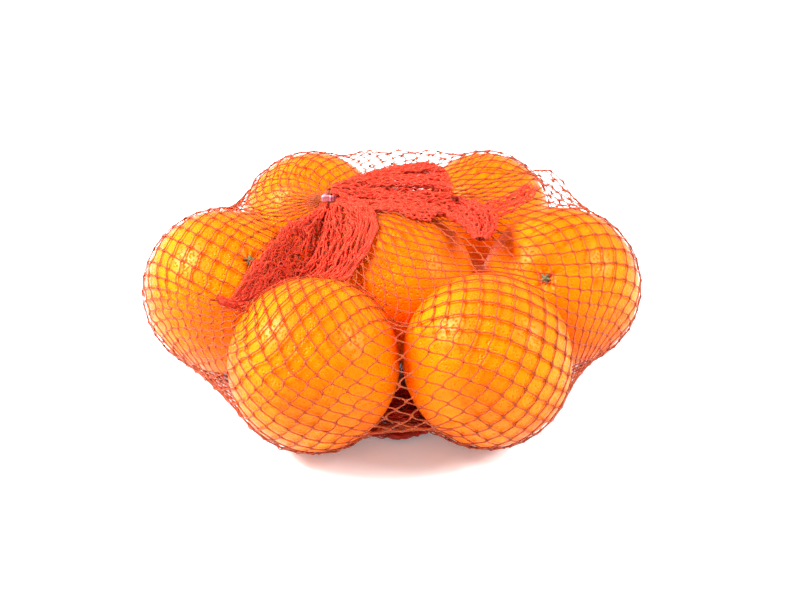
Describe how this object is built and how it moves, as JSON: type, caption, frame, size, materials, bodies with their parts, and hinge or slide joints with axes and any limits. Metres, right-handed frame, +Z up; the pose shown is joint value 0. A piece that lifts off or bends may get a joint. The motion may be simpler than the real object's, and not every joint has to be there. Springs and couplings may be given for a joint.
{
  "type": "mesh produce bag",
  "caption": "Clipped red plastic mesh bag drawn tight over one layer of oranges, with a gathered neck, a clip and a free tail of net that lifts.",
  "frame": {"origin": "on the surface the bag lies on, under the middle of its outline", "axes": "+X to the right along the bag's longest side, +Y to the back, +Z up"},
  "size_m": [0.2317, 0.2186, 0.0821],
  "materials": {
    "net": "satin",
    "clip": "gloss",
    "peel": "satin",
    "stem": "matte"
  },
  "bodies": {
    "bag": {"net_bag": "net", "neck_clip": "clip", "base_clip": "clip"},
    "tail": {"net_tail": "net"},
    "fruit_front_left": {"orange_front_left": "peel", "stem_front_left": "stem"},
    "fruit_front_right": {"orange_front_right": "peel", "stem_front_right": "stem"},
    "fruit_left": {"orange_left": "peel", "stem_left": "stem"},
    "fruit_middle": {"orange_middle": "peel", "stem_middle": "stem"},
    "fruit_right": {"orange_right": "peel", "stem_right": "stem"},
    "fruit_back_left": {"orange_back_left": "peel", "stem_back_left": "stem"},
    "fruit_back_right": {"orange_back_right": "peel", "stem_back_right": "stem"}
  },
  "joints": [
    {"name": "tail_lift", "type": "hinge", "parent": "bag", "child": "tail", "pos_m": [-0.02825, 0.01645, 0.078], "axis": [0, -1, 0], "range_deg": [0, 150]},
    {"name": "turn_front_left", "type": "hinge", "parent": "bag", "child": "fruit_front_left", "pos_m": [-0.03325, -0.07155, 0.03814], "axis": [-0.5535, 0.7547, -0.3522], "continuous": true},
    {"name": "turn_front_right", "type": "hinge", "parent": "bag", "child": "fruit_front_right", "pos_m": [0.03975, -0.06855, 0.03869], "axis": [0.9488, 0.2996, -0.0999], "continuous": true},
    {"name": "turn_left", "type": "hinge", "parent": "bag", "child": "fruit_left", "pos_m": [-0.07625, -0.01055, 0.0388], "axis": [0.39, -0.52, 0.76], "continuous": true},
    {"name": "turn_middle", "type": "hinge", "parent": "bag", "child": "fruit_middle", "pos_m": [0.00125, -0.00355, 0.03825], "axis": [0.1003, 0.7519, -0.6516], "continuous": true},
    {"name": "turn_right", "type": "hinge", "parent": "bag", "child": "fruit_right", "pos_m": [0.07725, -0.00505, 0.0381], "axis": [-0.3005, -0.7714, 0.561], "continuous": true},
    {"name": "turn_back_left", "type": "hinge", "parent": "bag", "child": "fruit_back_left", "pos_m": [-0.04075, 0.06245, 0.03715], "axis": [-0.2999, 0.7998, 0.5199], "continuous": true},
    {"name": "turn_back_right", "type": "hinge", "parent": "bag", "child": "fruit_back_right", "pos_m": [0.04785, 0.07485, 0.03463], "axis": [0.5994, 0.6993, 0.3896], "continuous": true}
  ]
}
